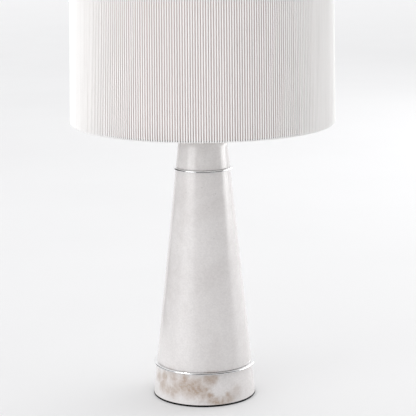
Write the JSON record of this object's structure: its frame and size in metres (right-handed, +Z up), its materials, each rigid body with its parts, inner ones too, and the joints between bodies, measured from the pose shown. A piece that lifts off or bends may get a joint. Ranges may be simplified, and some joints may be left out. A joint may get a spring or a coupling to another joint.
{
  "type": "column table lamp",
  "caption": "Table lamp: a tapered white marble column with thin chrome discs, a harp and socket on top, and a tapered drum shade of upright white cords.",
  "frame": {"origin": "centre of the lamp's underside, on the surface that it stands on", "axes": "+Z up along the lamp's axis; -Y to the front, where the switch knob points; +Y to the back, where the cord inlet is; the harp lies in the XZ plane"},
  "size_m": [0.35, 0.35, 0.6362],
  "materials": {
    "marble": "white crystalline marble, honed to a soft sheen",
    "chrome": "bright chrome plate",
    "black_lacquer": "gloss black",
    "felt": "black wool felt",
    "zinc_steel": "zinc plate",
    "nickel": "satin nickel plate",
    "brass": "plain brass",
    "thread_brass": "rolled brass thread shell",
    "phenolic": "black phenolic",
    "fibre": "pressed fibre sleeve",
    "grommet": "black moulded bushing",
    "solder": "soldered contact",
    "black_glass": "black vitrified insulator",
    "bulb_metal": "pressed aluminium cap",
    "opal_glass": "opal white glass",
    "shade_wire": "white powder coat",
    "liner": "mauve-grey lining, matt",
    "shade_cord": "white viscose cord, laid upright"
  },
  "bodies": {
    "stand": {"felt_pad": "felt", "base_plate": "black_lacquer", "marble_base": "marble", "lower_disc": "chrome", "marble_column": "marble", "upper_disc": "chrome", "marble_cap": "marble", "threaded_rod": "zinc_steel", "bottom_washer": "zinc_steel", "star_washer": "zinc_steel", "bottom_nut": "zinc_steel", "cord_bushing": "grommet", "check_ring": "chrome", "neck_nut": "chrome", "harp_saddle": "nickel", "socket_cap": "nickel", "set_screw": "zinc_steel", "socket_shell": "nickel", "socket_sleeve": "fibre", "socket_body": "phenolic", "terminal_screws": "brass", "screw_shell": "thread_brass", "centre_contact": "brass"},
    "switch": {"switch_stem": "brass", "switch_knob": "phenolic"},
    "bulb_foot": {"bulb_contact": "solder", "bulb_insulator": "black_glass"},
    "bulb": {"bulb_cap": "bulb_metal", "bulb_glass": "opal_glass"},
    "harp": {"harp_loop": "nickel", "harp_stud": "nickel"},
    "left_ferrule": {"left_ferrule": "nickel"},
    "right_ferrule": {"right_ferrule": "nickel"},
    "shade": {"fitter_hub": "shade_wire", "spider_arms": "shade_wire", "top_ring": "shade_wire", "bottom_ring": "shade_wire", "shade_liner": "liner", "shade_cover": "shade_cord"},
    "finial_collar": {"finial_collar": "chrome"},
    "finial_knob": {"finial_knob": "chrome"}
  },
  "joints": [
    {"name": "switch_turn", "type": "hinge", "parent": "stand", "child": "switch", "pos_m": [0, -0.03, 0.3922], "axis": [0, -1, 0], "continuous": true},
    {"name": "bulb_rise", "type": "slide", "parent": "stand", "child": "bulb_foot", "axis": [0, 0, 1], "range_m": [0, 0.01814]},
    {"name": "bulb_turn", "type": "hinge", "parent": "bulb_foot", "child": "bulb", "pos_m": [0, 0, 0.4015], "axis": [0, 0, 1], "range_deg": [0, 1800]},
    {"name": "harp_lift", "type": "slide", "parent": "stand", "child": "harp", "axis": [0, 0, 1], "range_m": [0, 0.03]},
    {"name": "left_ferrule_slide", "type": "slide", "parent": "harp", "child": "left_ferrule", "axis": [0, 0, 1], "range_m": [0, 0.012]},
    {"name": "right_ferrule_slide", "type": "slide", "parent": "harp", "child": "right_ferrule", "axis": [0, 0, 1], "range_m": [0, 0.012]},
    {"name": "shade_turn", "type": "hinge", "parent": "harp", "child": "shade", "pos_m": [0, 0, 0.6044], "axis": [0, 0, 1], "continuous": true},
    {"name": "finial_rise", "type": "slide", "parent": "harp", "child": "finial_collar", "axis": [0, 0, 1], "range_m": [0, 0.00847]},
    {"name": "finial_turn", "type": "hinge", "parent": "finial_collar", "child": "finial_knob", "pos_m": [0, 0, 0.6077], "axis": [0, 0, 1], "range_deg": [0, 3240]}
  ],
  "couplings": [
    {"joint": "bulb_turn", "follows": "bulb_rise", "rad_per_m": 1731.4},
    {"joint": "finial_turn", "follows": "finial_rise", "rad_per_m": 6677.1}
  ]
}
